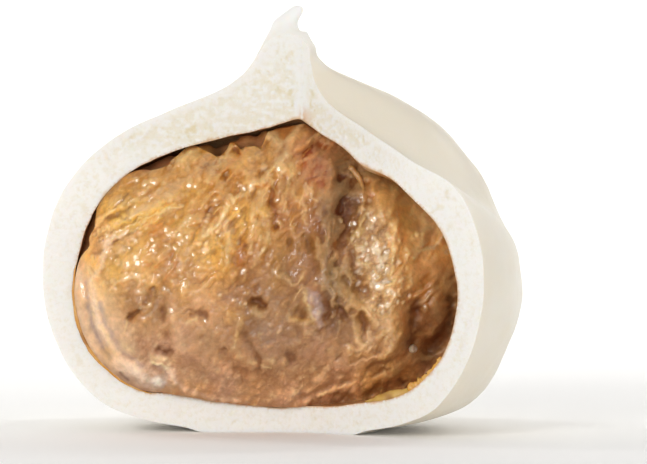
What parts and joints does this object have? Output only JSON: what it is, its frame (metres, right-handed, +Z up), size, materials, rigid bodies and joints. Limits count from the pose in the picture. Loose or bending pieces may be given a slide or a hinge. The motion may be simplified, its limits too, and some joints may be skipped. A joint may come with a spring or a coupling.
{
  "type": "cut steamed pork bun",
  "caption": "Steamed bun gathered to a leaning peak, with a wedge cut out of its front so that the torn meat inside shows.",
  "frame": {"origin": "on the bun's own upright axis, at the flat under its base that it stands on", "axes": "+Z up, +X to the right as seen from the front, and the opening faces -Y"},
  "size_m": [0.0805, 0.0629, 0.0718],
  "materials": {
    "dough": "smooth white steamed dough",
    "meat": "wet braised minced pork"
  },
  "bodies": {
    "root": {"dough_wrapper": "dough", "meat_filling": "meat"}
  },
  "joints": []
}
